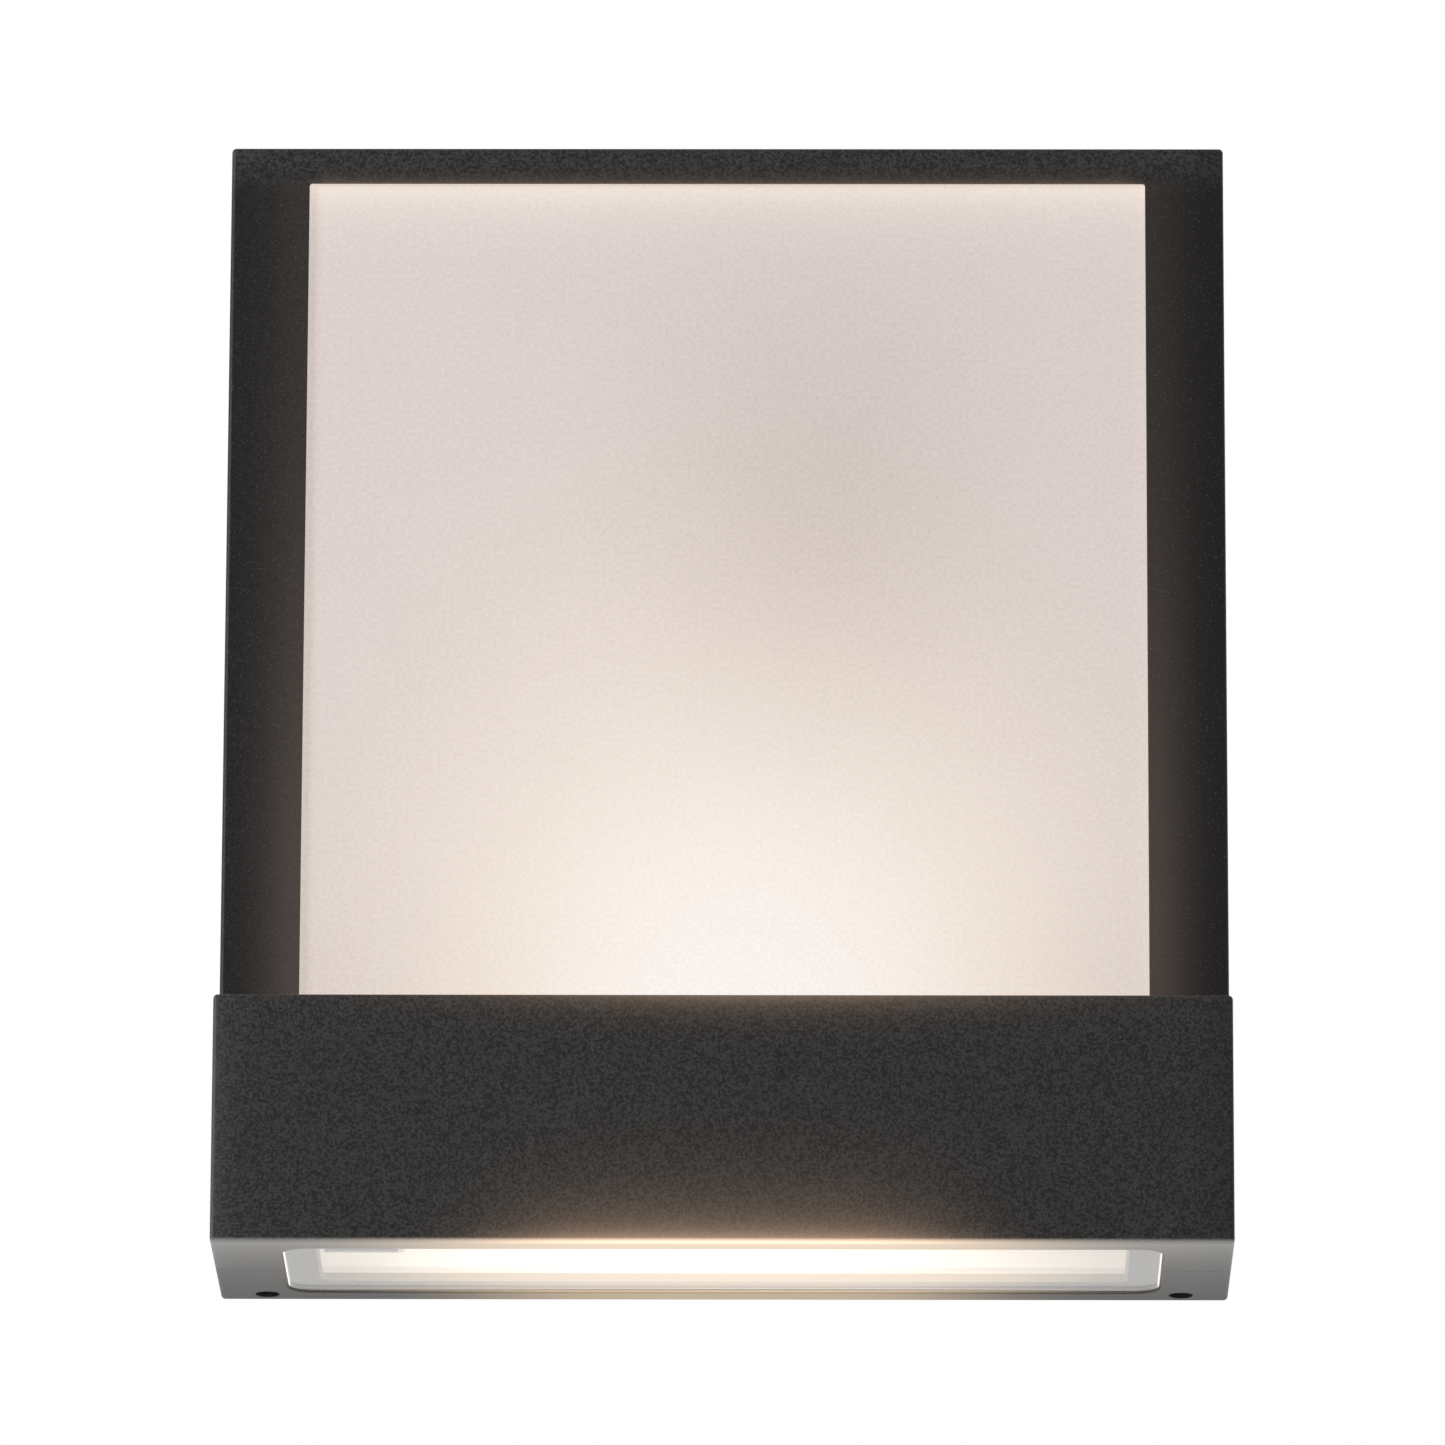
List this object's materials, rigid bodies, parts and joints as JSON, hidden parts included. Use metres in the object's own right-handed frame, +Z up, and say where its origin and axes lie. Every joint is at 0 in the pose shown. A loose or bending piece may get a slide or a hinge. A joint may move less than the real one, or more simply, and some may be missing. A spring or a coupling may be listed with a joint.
{
  "type": "outdoor wall lantern",
  "caption": "Flat rectangular outdoor wall light with an opal front panel above a deeper lamp band, and a clear window in its underside.",
  "frame": {"origin": "centre of the rear face of the wall gasket, which lies on the wall", "axes": "+X to the right of someone facing the lantern, +Y out of the back into the wall, +Z up along the long side"},
  "size_m": [0.232, 0.0593, 0.27],
  "materials": {
    "black_plastic": "black insulating glass",
    "black_rubber": "moulded black rubber",
    "black_steel": "blackened steel",
    "blue_sleeve": "blue wire sleeve",
    "brass": "bright brass",
    "brown_sleeve": "brown wire sleeve",
    "charcoal_coat": "fine-textured matt charcoal powder coat on cast aluminium",
    "clear_glass": "clear toughened glass with polished edges",
    "green_sleeve": "green and yellow wire sleeve",
    "grey_foam": "closed-cell grey sponge rubber",
    "ivory_plastic": "ivory moulded nylon",
    "nickel": "nickel-plated",
    "opal_globe": "opal white lamp glass",
    "opal_panel": "opal acrylic sheet with a fine matt face, lit from behind and below",
    "white_ceramic": "white glazed ceramic",
    "white_coat": "satin white powder coat on sheet aluminium",
    "zinc_steel": "zinc-plated steel"
  },
  "bodies": {
    "wall_unit": {"bracket_screw_1": "zinc_steel", "bracket_screw_2": "zinc_steel", "cable_grommet": "black_rubber", "earth_screw": "brass", "earth_tag": "brass", "lampholder_body": "white_ceramic", "lampholder_bracket": "zinc_steel", "lampholder_contact": "nickel", "lampholder_screw_1": "zinc_steel", "lampholder_screw_2": "zinc_steel", "lampholder_shell": "brass", "terminal_block": "ivory_plastic", "terminal_fixing_screw": "zinc_steel", "terminal_screw_1": "nickel", "terminal_screw_2": "nickel", "terminal_screw_3": "nickel", "terminal_screw_4": "nickel", "terminal_screw_5": "nickel", "terminal_screw_6": "nickel", "wall_gasket": "grey_foam", "wall_plate": "white_coat", "wire_earth": "green_sleeve", "wire_live": "brown_sleeve", "wire_neutral": "blue_sleeve", "wire_saddle_1": "ivory_plastic", "wire_saddle_2": "ivory_plastic"},
    "housing": {"clip_screw_1": "zinc_steel", "clip_screw_2": "zinc_steel", "clip_screw_3": "zinc_steel", "clip_screw_4": "zinc_steel", "diffuser_panel": "opal_panel", "front_housing": "charcoal_coat", "lower_glass": "clear_glass", "lower_glass_seal": "black_rubber", "panel_clip_1": "zinc_steel", "panel_clip_2": "zinc_steel", "panel_clip_3": "zinc_steel", "panel_clip_4": "zinc_steel", "panel_seal": "black_rubber"},
    "lamp": {"lamp_cap": "nickel", "lamp_contact": "nickel", "lamp_globe": "opal_globe", "lamp_insulator": "black_plastic", "lamp_neck": "white_ceramic"},
    "left_screw": {"retaining_screw_left": "black_steel"},
    "right_screw": {"retaining_screw_right": "black_steel"}
  },
  "joints": [
    {"name": "housing_removal", "type": "slide", "parent": "wall_unit", "child": "housing", "axis": [0, -1, 0], "range_m": [0, 0.09]},
    {"name": "lamp_unscrewing", "type": "slide", "parent": "wall_unit", "child": "lamp", "axis": [1, 0, 0], "range_m": [0, 0.03]},
    {"name": "left_screw_loosening", "type": "slide", "parent": "housing", "child": "left_screw", "axis": [0, 0, -1], "range_m": [0, 0.004]},
    {"name": "right_screw_loosening", "type": "slide", "parent": "housing", "child": "right_screw", "axis": [0, 0, -1], "range_m": [0, 0.004]}
  ]
}
